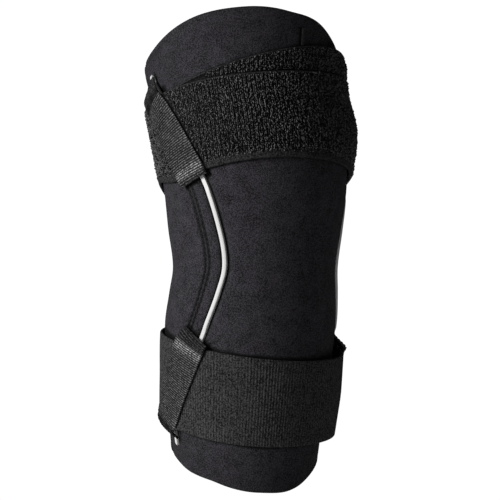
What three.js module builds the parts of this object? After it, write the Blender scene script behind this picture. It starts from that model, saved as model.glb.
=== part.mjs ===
import * as THREE from "three";

// An elbow support in the form that an arm gives it: a neoprene sleeve with white piping in its two
// seams, two bands round it and four webbing straps. Millimetres, +Z up towards the shoulder, and the
// point of the elbow towards -Y. The origin is the middle of the hollow at the elbow.
// Angles are degrees round the arm, from -Y towards +X. Offsets are distances out from the sleeve.

const TURN = 360; // degrees
const CLEARANCE = 0.4; // between pieces that lie on each other

const ARM = {
  elbow: 92, // width of the sleeve where it is narrowest
  flatness: 0.93, // depth of every slice as a share of its width
  upper: 139, // from the elbow up to the highest point of the rim
  fore: 122, // from the elbow down to the lowest point of the rim
};

const NEOPRENE = { thickness: 4, edge: 1.3 };
const PIPING = { width: 2.5, bead: 0.9, squeezed: 0.2, pressed: 15, from: 0.04, to: 0.95 };
// The under band is the upper band's first turn. It starts by the left seam and ends behind the right
// one, and its lower edge lies its inset above the upper band's.
const UNDER_BAND = { thickness: 1.4, inset: 14, lift: 0.6, gap: 0.65, from: -88, to: 160, step: 20 };
const UPPER_BAND = { thickness: 1.8, lift: 0.7, flare: 5 };
const LOWER_BAND = { thickness: 1.6, lift: 0.7, flare: 5 };
// The straps on the right lie further round the arm by their twist, in degrees.
const STRAP = { width: 20.5, thickness: 1.2, edge: 0.4, overhang: 2, fall: 8, twist: 6 };
const LABEL = { width: 1.7, height: 9.5, thickness: 1.1, angle: 2.5 };

// Slices of the sleeve's outer face. Heights are shares of ARM.upper above the elbow and of ARM.fore
// below it. Half widths and how far a slice lies back towards +Y are shares of ARM.elbow.
const SLICES = [
  { height: -1.07, half: 0.425, back: 0.13 },
  { height: -0.8, half: 0.457, back: 0.106 },
  { height: -0.53, half: 0.495, back: 0.079 },
  { height: -0.262, half: 0.522, back: 0.05 },
  { height: -0.115, half: 0.511, back: 0.02 },
  { height: 0, half: 0.5, back: 0 },
  { height: 0.144, half: 0.528, back: 0 },
  { height: 0.288, half: 0.554, back: -0.006 },
  { height: 0.39, half: 0.568, back: 0.01 },
  { height: 0.48, half: 0.578, back: 0.028 },
  { height: 0.58, half: 0.582, back: 0.063 },
  { height: 0.67, half: 0.582, back: 0.105 },
  { height: 0.77, half: 0.6, back: 0.136 },
  { height: 1.04, half: 0.63, back: 0.118 },
];

// The seams as they run down the sleeve: share of the way from the lower rim to the upper one, and the
// angle on either side of the front.
const SEAM = [
  { share: 0, angle: 92 },
  { share: 0.04, angle: 97 },
  { share: 0.09, angle: 98 },
  { share: 0.2, angle: 82 },
  { share: 0.29, angle: 67.5 },
  { share: 0.36, angle: 59.3 },
  { share: 0.44, angle: 53.2 },
  { share: 0.48, angle: 52.3 },
  { share: 0.53, angle: 53.9 },
  { share: 0.6, angle: 59.3 },
  { share: 0.67, angle: 66.2 },
  { share: 0.8, angle: 81 },
  { share: 0.92, angle: 98 },
  { share: 0.95, angle: 100 },
  { share: 1, angle: 100 },
];

// Every edge that runs round the arm, as shares of ARM.upper or ARM.fore: its level, how it tilts up to
// the front and rolls up to +X, and how it bows and skews twice round.
const RINGS = {
  rimTop: { length: ARM.upper, level: 0.822, tilt: 0.131, roll: -0.061, bow: 0.022, skew: -0.022 },
  underTop: { length: ARM.upper, level: 0.686, tilt: 0.164, roll: 0.037, bow: -0.004, skew: 0.011 },
  upperTop: { length: ARM.upper, level: 0.662, tilt: 0.103, roll: 0.013, bow: -0.011, skew: -0.001 },
  upperBottom: { length: ARM.upper, level: 0.306, tilt: 0.116, roll: -0.001, bow: -0.005, skew: -0.006 },
  lowerTop: { length: ARM.fore, level: -0.343, tilt: -0.073, roll: -0.017, bow: 0, skew: 0 },
  lowerBottom: { length: ARM.fore, level: -0.723, tilt: -0.079, roll: -0.004, bow: 0.003, skew: 0.002 },
  rimBottom: { length: ARM.fore, level: -0.862, tilt: -0.118, roll: 0.026, bow: -0.017, skew: 0.01 },
};

// The stretches where an edge rises by itself: the middle angle, half of the spread, and the rise.
const RISES = {
  rimTop: [
    { middle: -66, spread: 36, rise: 0.012 },
    { middle: 14, spread: 20, rise: 0.012 },
  ],
  upperBottom: [{ middle: -124, spread: 46, rise: 0.075 }],
  lowerBottom: [{ middle: -130, spread: 34, rise: 0.036 }],
  rimBottom: [{ middle: -105, spread: 36, rise: -0.014 }],
};

// Where a band stands off the sleeve: the middle angle of the stretch and half of its spread, and how
// far at the band's lower edge, halfway up and at its upper edge, as shares of the band's flare.
const UPPER_FLARES = [
  { middle: 62, spread: 60, low: 0, half: 0.52, high: 0 },
  { middle: -116, spread: 46, low: 0, half: 0.2, high: 0.42 },
];
const LOWER_FLARES = [
  { middle: 60, spread: 62, low: 1.1, half: 1, high: 0.72 },
  { middle: -124, spread: 60, low: 0.55, half: 0.25, high: 0.05 },
];

// The middle line of each strap from its sewn end: the angle, the height as a share of ARM.upper or
// ARM.fore, and the width as a share of STRAP.width.
const UPPER_ROUTE = [
  { angle: 69.5, height: 0.33, width: 0.93 },
  { angle: 73.5, height: 0.39, width: 1 },
  { angle: 80.7, height: 0.49, width: 1 },
  { angle: 88.5, height: 0.58, width: 1 },
  { angle: 95.5, height: 0.64, width: 1 },
  { angle: 100.5, height: 0.69, width: 0.8 },
  { angle: 101, height: 0.732, width: 0.3 },
];
const LOWER_ROUTE = [
  { angle: 68, height: -0.305, width: 0.93 },
  { angle: 72.5, height: -0.35, width: 1 },
  { angle: 81.5, height: -0.468, width: 1 },
  { angle: 90, height: -0.572, width: 1 },
  { angle: 97, height: -0.655, width: 1 },
  { angle: 101.5, height: -0.698, width: 0.96 },
  { angle: 101.5, height: -0.735, width: 0.62 },
  { angle: 99.5, height: -0.765, width: 0.3 },
];

const COLORS = {
  neoprene: 0x29282b,
  loops: 0x242425,
  elastic: 0x323234,
  webbing: 0x47474a,
  piping: 0xf2f2f2,
  label: 0x6a6a6c,
};

// How finely the faceted bodies are divided, and how much of a strip's edge is rounded away.
const FRONT_COLUMNS = 16;
const BACK_COLUMNS = 20;
const RING_STEPS = 48;
const BAND_ROWS = 4;
const STRAP_STEPS = 18;
const STRAP_COLUMNS = 4;
const ROUNDING = 0.4;
const RIM_ROW = 0.008;
const BEAD_TURNS = [0, 45, 78].map(THREE.MathUtils.degToRad);
const PIPED_ROWS = 24;
const LABEL_ROWS = 2;
// How far two places round the arm are kept from each other, in degrees.
const NEAR = 2;

const radians = THREE.MathUtils.degToRad;
const mix = THREE.MathUtils.lerp;

const ALL_ROUND = evenly(-TURN / 2, TURN / 2, RING_STEPS).slice(1);
const FIRST_TURN = [UNDER_BAND.from, ...ALL_ROUND.filter(isWellUnder), UNDER_BAND.to];

// The rows of the sleeve, as shares of the way up it. Two of them are the ends of the piping.
const SLEEVE_ROWS = [0, RIM_ROW, ...evenly(PIPING.from, PIPING.to, PIPED_ROWS), 1 - RIM_ROW, 1];

// Follows a smooth line through rows sorted by one column, and goes on straight past the last rows.
function follow(rows, key, column, at) {
  const last = rows.length - 1;
  let i = rows.findIndex((row) => row[key] > at) - 1;
  if (i < 0) i = at < rows[0][key] ? 0 : last - 1;
  const slope = (from, to) => (rows[to][column] - rows[from][column]) / (rows[to][key] - rows[from][key]);
  const span = rows[i + 1][key] - rows[i][key];
  const t = THREE.MathUtils.clamp((at - rows[i][key]) / span, 0, 1);
  const before = slope(Math.max(i - 1, 0), i + 1) * span;
  const after = slope(i, Math.min(i + 2, last)) * span;
  const value = THREE.MathUtils.lerp(rows[i][column], rows[i + 1][column], t * t * (3 - 2 * t));
  const beyond = at - THREE.MathUtils.clamp(at, rows[0][key], rows[last][key]);
  return value + before * t * (1 - t) ** 2 - after * t * t * (1 - t) + beyond * slope(i, i + 1);
}

function slice(height) {
  const share = height / (height > 0 ? ARM.upper : ARM.fore);
  const half = ARM.elbow * follow(SLICES, "height", "half", share);
  return { half, depth: half * ARM.flatness, back: ARM.elbow * follow(SLICES, "height", "back", share) };
}

// A point on the arm's form, at an angle, a height and an offset out from the sleeve's outer face.
function onForm(angle, height, offset) {
  const { half, depth, back } = slice(height);
  const turn = radians(angle);
  const forward = (depth + offset) * Math.cos(turn) - back;
  return new THREE.Vector3((half + offset) * Math.sin(turn), -forward, height);
}

// The length of one degree round the arm at a height.
function degreeOfArc(height) {
  return radians(slice(height).half);
}

// The same angle, from half a turn one way to half a turn the other way.
function roundTheArm(angle) {
  return THREE.MathUtils.euclideanModulo(angle + TURN / 2, TURN) - TURN / 2;
}

// How much of a stretch's full rise there is at an angle: all of it in its middle, none past its spread.
function swell({ middle, spread }, angle) {
  const away = roundTheArm(angle - middle);
  return Math.abs(away) < spread ? Math.cos((away / spread) * (Math.PI / 2)) ** 2 : 0;
}

function ringHeight(ring, angle) {
  const { length, level, tilt, roll, bow, skew } = RINGS[ring];
  const rises = RISES[ring] ?? [];
  const turn = radians(angle);
  const once = tilt * Math.cos(turn) + roll * Math.sin(turn);
  const twice = bow * Math.cos(2 * turn) + skew * Math.sin(2 * turn);
  const rise = rises.reduce((sum, stretch) => sum + stretch.rise * swell(stretch, angle), 0);
  return length * (level + once + twice + rise);
}

// Joins loops of points, all with the same even number, into one closed body. A body that isn't closed
// on itself gets end caps between the points that face each other across its loops.
function loft(loops, closed) {
  const count = loops[0].length;
  const index = [];
  const quad = (a, b, c, d) => index.push(a, b, c, a, c, d);
  const joints = closed ? loops.length : loops.length - 1;
  for (let s = 0; s < joints; s += 1) {
    const here = s * count;
    const next = ((s + 1) % loops.length) * count;
    for (let p = 0; p < count; p += 1) {
      const q = (p + 1) % count;
      quad(here + p, here + q, next + q, next + p);
    }
  }
  if (!closed) {
    const end = (loops.length - 1) * count;
    for (let p = 0; p < count / 2 - 1; p += 1) {
      const q = count - 1 - p;
      quad(p, q, q - 1, p + 1);
      quad(end + p, end + p + 1, end + q - 1, end + q);
    }
  }
  const points = loops.flat();
  if (volume(points, index) < 0) index.reverse();
  const geometry = new THREE.BufferGeometry().setFromPoints(points);
  geometry.setIndex(index);
  geometry.computeVertexNormals();
  return geometry;
}

function volume(points, index) {
  let sum = 0;
  for (let i = 0; i < index.length; i += 3) {
    const [a, b, c] = [points[index[i]], points[index[i + 1]], points[index[i + 2]]];
    sum += a.dot(new THREE.Vector3().crossVectors(b, c));
  }
  return sum / 6;
}

function piece(name, geometry, color, roughness) {
  const mesh = new THREE.Mesh(geometry, new THREE.MeshStandardMaterial({ color, roughness, metalness: 0 }));
  mesh.name = name;
  return mesh;
}

function isWellUnder(angle) {
  return angle > UNDER_BAND.from + NEAR && angle < UNDER_BAND.to - NEAR;
}

function evenly(from, to, steps) {
  return Array.from({ length: steps + 1 }, (_, i) => mix(from, to, i / steps));
}

// The loop round a flat strip's cross-section, as places across it and offsets: along its outer face
// and back along its inner one, with both of its edges rounded.
function stripLoop(places, inner, thickness, edge) {
  const first = places[0];
  const last = places[places.length - 1];
  const within = places.map((place) => mix(first + edge, last - edge, (place - first) / (last - first)));
  const row = (share) => [
    { place: first, offset: inner(first) + mix(0.5, share, ROUNDING) * thickness },
    ...within.map((place) => ({ place, offset: inner(place) + share * thickness })),
    { place: last, offset: inner(last) + mix(0.5, share, ROUNDING) * thickness },
  ];
  return [...row(1), ...row(0).reverse()];
}

function sleeveHeight(angle, share) {
  return mix(ringHeight("rimBottom", angle), ringHeight("rimTop", angle), share);
}

function seamAngle(share) {
  return follow(SEAM, "share", "angle", share);
}

// Half of the gap between two panels, as an angle: the piping lies in it between its own ends.
function seamGap(share) {
  const piped = share >= PIPING.from && share <= PIPING.to;
  const half = piped ? PIPING.width / 2 + CLEARANCE : CLEARANCE / 2;
  return half / degreeOfArc(sleeveHeight(seamAngle(share), share));
}

// A panel of the sleeve between the two angles that edgesAt gives for each row, rounded all round.
function panel(name, columns, edgesAt, color) {
  const loops = SLEEVE_ROWS.map((share) => {
    const squeeze = share === 0 || share === 1 ? (ROUNDING / 2) * NEOPRENE.thickness : 0;
    const [from, to] = edgesAt(share);
    const edge = NEOPRENE.edge / degreeOfArc(sleeveHeight(from, share));
    const inner = () => squeeze - NEOPRENE.thickness;
    const loop = stripLoop(evenly(from, to, columns), inner, NEOPRENE.thickness - 2 * squeeze, edge);
    return loop.map(({ place, offset }) => onForm(place, sleeveHeight(place, share), offset));
  });
  return piece(name, loft(loops, false), color, 0.9);
}

function frontPanel() {
  const edgesAt = (share) => {
    const reach = seamAngle(share) - seamGap(share);
    return [-reach, reach];
  };
  return panel("front_panel", FRONT_COLUMNS, edgesAt, COLORS.neoprene);
}

function backPanel() {
  const edgesAt = (share) => {
    const reach = seamAngle(share) + seamGap(share);
    return [reach, TURN - reach];
  };
  return panel("back_panel", BACK_COLUMNS, edgesAt, COLORS.neoprene);
}

// A strip of piping that fills a seam, with a round bead outside. Bands and straps press it flat.
function piping(name, side) {
  const half = PIPING.width / 2;
  const rows = SLEEVE_ROWS.filter((share) => share >= PIPING.from && share <= PIPING.to);
  const loops = rows.map((share) => {
    const angle = side * seamAngle(share);
    const height = sleeveHeight(angle, share);
    const bead = support(angle, height, PIPING.pressed) > 0 ? PIPING.squeezed : PIPING.bead;
    const left = [
      { across: -half, offset: -NEOPRENE.thickness },
      ...BEAD_TURNS.map((turn) => ({ across: -half * Math.cos(turn), offset: bead * Math.sin(turn) })),
    ];
    const right = left.map(({ across, offset }) => ({ across: -across, offset })).reverse();
    return [...left, ...right].map(({ across, offset }) => {
      const place = angle + across / degreeOfArc(height);
      return onForm(place, sleeveHeight(place, share), offset);
    });
  });
  return piece(name, loft(loops, false), COLORS.piping, 0.5);
}

// How far a band stands off the sleeve because it is loose there, by the share of the way up it.
function standOff(flares, angle, share) {
  const at = THREE.MathUtils.clamp(share, 0, 1);
  return flares.reduce((sum, flare) => {
    const rise = at < 0.5 ? mix(flare.low, flare.half, 2 * at) : mix(flare.half, flare.high, 2 * at - 1);
    return sum + rise * swell(flare, angle);
  }, 0);
}

function upperSlack(angle, height) {
  const bottom = ringHeight("upperBottom", angle);
  const share = (height - bottom) / (ringHeight("upperTop", angle) - bottom);
  return UPPER_BAND.flare * standOff(UPPER_FLARES, angle, share);
}

// Each band: its edges, its thickness and its inner face's offset at an angle and a height.
const UNDER = {
  top: (angle) => ringHeight("underTop", angle),
  bottom: (angle) => ringHeight("upperBottom", angle) + UNDER_BAND.inset,
  thickness: UNDER_BAND.thickness,
  inner: (angle, height) => UNDER_BAND.lift + upperSlack(angle, height),
};
const UPPER = {
  top: (angle) => ringHeight("upperTop", angle),
  bottom: (angle) => ringHeight("upperBottom", angle),
  thickness: UPPER_BAND.thickness,
  inner: (angle, height) => {
    const over = UNDER_BAND.lift + UNDER_BAND.thickness + UNDER_BAND.gap;
    const { smoothstep } = THREE.MathUtils;
    const round = roundTheArm(angle);
    const starts = smoothstep(round, UNDER_BAND.from - UNDER_BAND.step, UNDER_BAND.from - NEAR / 2);
    const ends = smoothstep(round, UNDER_BAND.to + NEAR / 2, UNDER_BAND.to + UNDER_BAND.step);
    const above = smoothstep(height - UPPER.bottom(angle), 0, UNDER_BAND.inset - CLEARANCE);
    const raised = starts * (1 - ends) * above;
    return mix(UPPER_BAND.lift, over, raised) + upperSlack(angle, height);
  },
};
const LOWER = {
  top: (angle) => ringHeight("lowerTop", angle),
  bottom: (angle) => ringHeight("lowerBottom", angle),
  thickness: LOWER_BAND.thickness,
  inner: (angle, height) => {
    const share = (height - LOWER.bottom(angle)) / (LOWER.top(angle) - LOWER.bottom(angle));
    return LOWER_BAND.lift + LOWER_BAND.flare * standOff(LOWER_FLARES, angle, share);
  },
};

function band(name, { top, bottom, thickness, inner }, angles, color) {
  const loops = angles.map((angle) => {
    const heights = evenly(bottom(angle), top(angle), BAND_ROWS);
    const loop = stripLoop(heights, (height) => inner(angle, height), thickness, ROUNDING * thickness);
    return loop.map(({ place, offset }) => onForm(angle, place, offset));
  });
  return piece(name, loft(loops, angles.length === ALL_ROUND.length), color, 0.95);
}

// The outer offset of the bands that lie at an angle and a height. Past their edges it stays for the
// strap's overhang and then slopes away to nothing at the distance of the fall.
function support(angle, height, fall) {
  return Math.max(0, ...[UNDER, UPPER, LOWER].map((layer) => {
    if (layer === UNDER && (angle < UNDER_BAND.from || angle > UNDER_BAND.to)) return 0;
    const past = Math.max(height - layer.top(angle), layer.bottom(angle) - height, 0);
    if (past > fall) return 0;
    const outer = layer.inner(angle, height) + layer.thickness;
    return outer * (1 - THREE.MathUtils.smoothstep(past, STRAP.overhang, fall));
  }));
}

// A webbing strap laid over whatever is under it, from its sewn end by the elbow to the end that goes
// over the far edge of the band.
function strap(name, route, length, side) {
  const twist = side > 0 ? STRAP.twist : 0;
  const spots = route.map(({ angle, height, width }) => {
    return new THREE.Vector3(side * angle + twist, length * height, STRAP.width * width);
  });
  const line = new THREE.CatmullRomCurve3(spots);
  const loops = evenly(0, 1, STRAP_STEPS).map((u) => {
    const { x: angle, y: height, z: width } = line.getPoint(u);
    const along = line.getTangent(u);
    const run = new THREE.Vector2(along.x * degreeOfArc(height), along.y).normalize();
    const spot = (place) => [angle + (place * run.y) / degreeOfArc(height), height - place * run.x];
    const inner = (place) => Math.max(support(...spot(place), STRAP.fall), PIPING.squeezed) + CLEARANCE;
    const places = evenly(-width / 2, width / 2, STRAP_COLUMNS);
    const loop = stripLoop(places, inner, STRAP.thickness, STRAP.edge);
    return loop.map(({ place, offset }) => onForm(...spot(place), offset));
  });
  return piece(name, loft(loops, false), COLORS.webbing, 0.8);
}

// The narrow folded label on the sleeve, just above the band.
function label() {
  const foot = UNDER.top(LABEL.angle) + CLEARANCE;
  const loops = evenly(foot, foot + LABEL.height, LABEL_ROWS).map((height) => {
    const half = LABEL.width / 2 / degreeOfArc(height);
    const places = [LABEL.angle - half, LABEL.angle + half];
    const loop = stripLoop(places, () => CLEARANCE, LABEL.thickness, half / 3);
    return loop.map(({ place, offset }) => onForm(place, height, offset));
  });
  return piece("folded_label", loft(loops, false), COLORS.label, 0.8);
}

const elbowSupport = new THREE.Group();
elbowSupport.name = "elbow_support";
elbowSupport.add(
  frontPanel(),
  backPanel(),
  piping("piping_left", -1),
  piping("piping_right", 1),
  band("under_band", UNDER, FIRST_TURN, COLORS.loops),
  band("upper_band", UPPER, ALL_ROUND, COLORS.loops),
  band("lower_band", LOWER, ALL_ROUND, COLORS.elastic),
  strap("upper_strap_left", UPPER_ROUTE, ARM.upper, -1),
  strap("upper_strap_right", UPPER_ROUTE, ARM.upper, 1),
  strap("lower_strap_left", LOWER_ROUTE, ARM.fore, -1),
  strap("lower_strap_right", LOWER_ROUTE, ARM.fore, 1),
  label(),
);

export default elbowSupport;
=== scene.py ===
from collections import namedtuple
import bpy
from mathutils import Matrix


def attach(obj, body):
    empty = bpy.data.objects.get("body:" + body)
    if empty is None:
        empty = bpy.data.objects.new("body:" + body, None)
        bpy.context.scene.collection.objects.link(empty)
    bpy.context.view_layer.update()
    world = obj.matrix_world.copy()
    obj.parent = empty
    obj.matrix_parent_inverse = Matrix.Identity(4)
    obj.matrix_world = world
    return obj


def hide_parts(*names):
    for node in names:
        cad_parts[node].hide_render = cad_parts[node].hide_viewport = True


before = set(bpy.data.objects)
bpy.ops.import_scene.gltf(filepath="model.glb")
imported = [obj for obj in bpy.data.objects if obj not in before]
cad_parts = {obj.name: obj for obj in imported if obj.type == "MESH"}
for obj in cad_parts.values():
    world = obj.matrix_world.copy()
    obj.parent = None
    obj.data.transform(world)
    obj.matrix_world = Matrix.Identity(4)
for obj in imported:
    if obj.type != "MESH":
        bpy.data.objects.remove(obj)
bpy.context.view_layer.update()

# An elbow support, dressed: a neoprene sleeve faced with jersey, white piping in its two seams, two
# turns of loop band round the upper arm, a ribbed elastic band round the forearm and four webbing
# straps. Sizes are in millimetres and angles in degrees, as in the part's own source, and MM turns
# them into metres. Angles go round the arm from -Y towards +X, offsets out from the sleeve's face.

from types import SimpleNamespace as Sizes

import bpy
import numpy as np
from mathutils import Matrix, Vector

MM = 0.001
CLEARANCE = 0.4
SEAM_EASE = 0.05
TURN = 360

# In these tables, least is how thin an end gets, as a share, and outer is the share of a thickness
# above which ribs, pile and creases shape it.
ARM = Sizes(elbow=92, flatness=0.93, upper=139, fore=122)
NEOPRENE = Sizes(thickness=4, edge=1.3, outer=0.6)
PIPING = Sizes(half=1.25, bead=0.75, squeezed=0.25, pressed=15, start=0.04, end=0.946, least=0.02)
UNDER_BAND = Sizes(
    thickness=1.4, inset=14, lift=0.6, gap=0.1, lean=1.5, start=-88, end=160, step=20, least=0.05)
UPPER_BAND = Sizes(thickness=1.8, lift=0.7, flare=5, settles=1.25)
LOWER_BAND = Sizes(thickness=1.6, lift=0.7, flare=5)
# A strap's shade, dark and full set the painted shadow beside it: how far it reaches, how dark it is, and
# the share of that reach that is fully dark.
STRAP = Sizes(
    width=20.5, thickness=1.2, edge=0.5, overhang=0.8, end_falls=9, twist=6, shade=1.8, dark=0.95,
    full=0.6, columns=22, rows_a_rib=6, fine=400, least=0.04)
CLOTH_OUTER = 0.5
LABEL = Sizes(
    angle=3.2, height=9.5, leaf=1.5, slit=1.6, proud=0.7, hem=0.12, rows=16, least=0.1, slit_rise=0.15)

# Shares up the main turn where the first turn starts to lean out, leans fully, lets go and stands back.
UNDER_LEANS = (0.98, 1.04, 1.12, 1.24)

# Slices of the sleeve's outer face: height as a share of the upper arm or forearm, then the half
# width and how far the slice lies back, as shares of the width at the elbow.
SLICES = [
    (-1.07, 0.425, 0.13), (-0.8, 0.457, 0.106), (-0.53, 0.495, 0.079), (-0.262, 0.522, 0.05),
    (-0.115, 0.511, 0.02), (0, 0.5, 0), (0.144, 0.528, 0), (0.288, 0.554, -0.006),
    (0.39, 0.568, 0.01), (0.48, 0.578, 0.028), (0.58, 0.582, 0.063), (0.67, 0.582, 0.105),
    (0.77, 0.6, 0.136), (1.04, 0.63, 0.118),
]
HALVES = [(height, half) for height, half, back in SLICES]
BACKS = [(height, back) for height, half, back in SLICES]

# The seams: share of the way up the sleeve, and the angle on either side of the front.
SEAM = [
    (0, 92), (0.04, 97), (0.09, 98), (0.2, 82), (0.29, 67.5), (0.36, 59.3), (0.44, 53.2), (0.48, 52.3),
    (0.53, 53.9), (0.6, 59.3), (0.67, 66.2), (0.8, 81), (0.92, 98), (0.95, 100), (1, 100),
]

# Every edge that runs round the arm, and the stretches where it rises by itself.
Ring = namedtuple("Ring", "length level tilt roll bow skew rises")
RIM_TOP = Ring(ARM.upper, 0.822, 0.131, -0.061, 0.022, -0.022, [(-66, 36, 0.012), (14, 20, 0.012)])
UNDER_TOP = Ring(ARM.upper, 0.686, 0.164, 0.037, -0.004, 0.011, [])
UPPER_TOP = Ring(ARM.upper, 0.662, 0.103, 0.013, -0.011, -0.001, [])
UPPER_BOTTOM = Ring(ARM.upper, 0.306, 0.116, -0.001, -0.005, -0.006, [(-124, 46, 0.075)])
LOWER_TOP = Ring(ARM.fore, -0.343, -0.073, -0.017, 0, 0, [])
LOWER_BOTTOM = Ring(ARM.fore, -0.723, -0.079, -0.004, 0.003, 0.002, [(-130, 34, 0.036)])
RIM_BOTTOM = Ring(ARM.fore, -0.862, -0.118, 0.026, -0.017, 0.01,
                   [(-105, 36, -0.014), (-79, 26, -0.016), (13, 32, -0.014)])

# Where a band stands off the sleeve: middle, spread, and shares of its flare going up it.
UPPER_FLARES = [(62, 60, (0, 0.52, 0.1)), (-116, 46, (0, 0.2, 0.42))]
LOWER_FLARES = [(60, 62, (1.1, 1.12, 0.8)), (-124, 60, (0.55, 0.25, 0.05))]

# The middle line of each strap from its sewn end: angle, height share, width share. Their folded tips
# reach up and down the piping to just below its ends.
UPPER_ROUTE = [
    (69.5, 0.33, 0.93), (73.5, 0.39, 1), (80.7, 0.49, 1), (88.5, 0.58, 1), (95.5, 0.64, 1),
    (100, 0.685, 0.96), (99.8, 0.7, 0.86), (99.6, 0.709, 0.7),
]
LOWER_ROUTE = [
    (68, -0.305, 0.93), (72.5, -0.35, 1), (81.5, -0.468, 1), (90, -0.572, 1), (97, -0.655, 1),
    (101, -0.698, 0.96), (99.5, -0.722, 0.6), (96, -0.745, 0.38), (93.5, -0.763, 0.28),
]

# Seam details of the sleeve, as distances from the seam, and the stitches.
# The seam roll's back_shade and dark paint shade into the groove beside the piping, the channels are painted
# dark, partly for their thread and partly as shade, and the rim seam's line_shade, lip_shade and shade paint
# shade along its stitched line, at the rim's edge and fading out over fades.
SEAM_ROLL = Sizes(front=1.3, back=0.35, width=2.1, back_shade=0.2, dark=(0.25, 0.8))
CHANNELS = Sizes(places=(9.4, 12.0), depth=0.9, width=0.85)
RIM_SEAM = Sizes(
    inset=3.6, depth=0.35, width=0.6, line_shade=0.4, lip_shade=0.75, lip=(0.7, 1.5), shade=0.2,
    fades=(4, 34))

# Painted shade along small creases and gaps in the sleeve's front, which have no dip of their own: where
# each starts and ends, as angle and height, width, strength.
PAINTED_CREASE_SHADE = [
    ((11, 131), (11.3, 124.5), 0.6, 0.8), ((0.3, 133), (7.3, 129.8), 0.45, 0.5),
    ((26.5, 121), (30.5, 120.2), 2.4, 1.0), ((-89, -90.5), (-88, -94.5), 1.4, 1.0),
]

# Where the sleeve is drawn in above the first turn: angle, spread, height, reach and depth.
PINCH = Sizes(angle=57, spread=38, height=121, reach=6, depth=1.7)

# The seam's topstitch keeps this far from it, and lies this deep.
TOPSTITCH, TOPSTITCH_DEPTH = 3.4, 0.1
STITCH = Sizes(length=2.2, gap=0.9, width=0.5, height=0.35, margin=1)

# The loop pile stands in upright columns, two loops wide, and keeps off the band's woven edges.
LOOPS = Sizes(
    column=2.2, apart=0.85, step=1.0, length=0.85, height=0.7, thread=0.26, turn=0.9, lean=0.6,
    scatter=0.22, sunk=0.55, selvage=3.8, clear=0.9, in_front=1.4, smallest=0.7, largest=1.3,
    fine=0.6, half_round=55, hem_step=0.4, shortest=3, below_top=0.8, above_band=1.3, below_turn=1,
    inside=1)
ELASTIC = Sizes(rib=1.62, depth=0.1, edge=(0.6, 1.6), half_round=49)
WEBBING = Sizes(
    rib=1.2, tip=11, depth=0.26, fold=1.0, turned=7.5, doubled=0.6, crumple=2.9, pleats=5, phase=0.8,
    narrow=0.3, sewn=(1.8, 4.2), thread=1.6, thread_lift=0.8, turns=1.5)

# How a strap is painted: painted shade over its folded tip, the pleats in it and its crumples, and a painted
# highlight along its front edge.
PAINTED_STRAP_LIGHT = Sizes(
    fold=0.85, pleat=0.15, opens=1.2, deepens=(3.5, 6), crumple=0.5, crumple_width=0.5, from_middle=0.3,
    edge=0.4, edge_from=(0.86, 0.97), sewn=(3, 1.5))

# How each strap looks at its ends: where the painted highlight near its sewn end lies and how far it
# spreads, how dark its first stretch is, where the painted shade of its folded tip starts, from the end, how
# much of that shade stays further in past the fold, over how far it comes down past the edge of the band
# below it, and how long it measures along its inner face.
StrapEnds = namedtuple("StrapEnds", "frayed fray sewn_dark fold deep falls cut")
UPPER_ENDS = StrapEnds(5.2, 2.8, 0.15, 14.0, 0.5, 18, 67)
LOWER_ENDS = StrapEnds(9.0, 2.6, 0.6, 13.2, 0.95, 6.5, 68)

# Each sheet's greatest width and length and its area, in metres, measured on its form as worn, at the
# middle of its thickness. How far the cloth is stretched can't be seen, so no stretch is taken off.
Cut = namedtuple("Cut", "width length area")

ARC = np.radians((15, 45, 75))


def follow(rows, at):
    """A smooth line through rows of place and value, which goes on straight past the last ones."""
    x, y = np.array(rows, float).T
    at = np.asarray(at, float)
    last = len(x) - 1
    i = np.clip(np.searchsorted(x, at, side="right") - 1, 0, last - 1)
    before, after = np.maximum(i - 1, 0), np.minimum(i + 2, last)
    span = x[i + 1] - x[i]
    t = np.clip((at - x[i]) / span, 0, 1)
    enter = (y[i + 1] - y[before]) / (x[i + 1] - x[before]) * span
    leave = (y[after] - y[i]) / (x[after] - x[i]) * span
    value = y[i] * (1 + 2 * t) * (1 - t) ** 2 + y[i + 1] * t * t * (3 - 2 * t)
    beyond = (at - np.clip(at, x[0], x[last])) * (y[i + 1] - y[i]) / span
    return value + enter * t * (1 - t) ** 2 - leave * t * t * (1 - t) + beyond


def smooth_step(at, low, high):
    t = np.clip((at - low) / (high - low), 0, 1)
    return t * t * (3 - 2 * t)


def round_the_arm(angle):
    return np.mod(np.asarray(angle, float) + TURN / 2, TURN) - TURN / 2


def slice_at(height):
    share = height / np.where(height > 0, ARM.upper, ARM.fore)
    return ARM.elbow * follow(HALVES, share), ARM.elbow * follow(BACKS, share)


def on_form(angle, height, offset):
    """Points on the arm's form, at angles, heights and offsets out from the sleeve's outer face."""
    half, back = slice_at(height)
    turn = np.radians(angle)
    depth = half * ARM.flatness
    x = (half + offset) * np.sin(turn)
    y = back - (depth + offset) * np.cos(turn)
    return np.stack(np.broadcast_arrays(x, y, height), axis=-1)


def degree_of_arc(height):
    """How many millimetres a degree spans round the arm."""
    return np.radians(slice_at(height)[0])


# The same at the height that stands for all of the cloth, where a mean will do.
MEAN_DEGREE = degree_of_arc(60.0)


def swell(middle, spread, angle):
    away = round_the_arm(angle - middle)
    return np.where(np.abs(away) < spread, np.cos(away / spread * np.pi / 2) ** 2, 0)


def ring_height(ring, angle):
    turn = np.radians(angle)
    once = ring.tilt * np.cos(turn) + ring.roll * np.sin(turn)
    twice = ring.bow * np.cos(2 * turn) + ring.skew * np.sin(2 * turn)
    rise = sum(amount * swell(middle, spread, angle) for middle, spread, amount in ring.rises)
    return ring.length * (ring.level + once + twice + rise)


def sleeve_height(angle, share):
    low, high = ring_height(RIM_BOTTOM, angle), ring_height(RIM_TOP, angle)
    return low + share * (high - low)


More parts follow.
